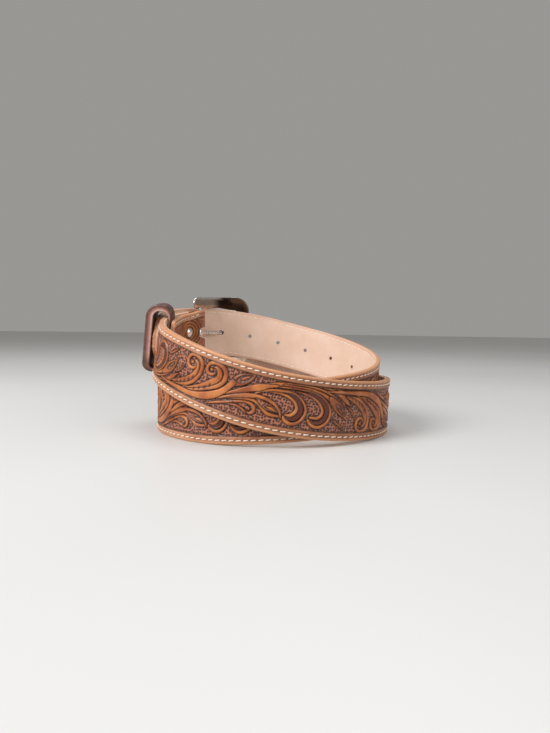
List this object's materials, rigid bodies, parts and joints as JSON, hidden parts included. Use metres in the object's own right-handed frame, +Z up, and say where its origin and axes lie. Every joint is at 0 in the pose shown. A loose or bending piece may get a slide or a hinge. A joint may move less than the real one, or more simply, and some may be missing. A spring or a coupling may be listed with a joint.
{
  "type": "western belt",
  "caption": "Buckled tooled-leather western belt coiled on edge in two turns, with a cast metal frame buckle, prong, snap, leather keeper and punched holes.",
  "frame": {"origin": "on the surface that the belt stands on, under the middle of the coil", "axes": "+Z up, +Y away from the viewer, towards the side of the coil where the buckle is; +X to the viewer's right"},
  "size_m": [0.1824, 0.1726, 0.099],
  "materials": {
    "tooled_leather": "carved and stamped vegetable-tanned leather, antiqued dark in the cuts, satin",
    "natural_leather": "undyed smooth leather lining, matte",
    "keeper_leather": "dark antiqued leather with lighter worn edges, satin",
    "buckle_metal": "polished nickel-plated casting with a little tarnish",
    "thread": "waxed cream thread"
  },
  "bodies": {
    "root": {"strap": "tooled_leather", "lining": "natural_leather", "buckle_frame": "buckle_metal", "prong": "buckle_metal", "snap_button": "buckle_metal", "keeper": "keeper_leather"}
  },
  "joints": []
}
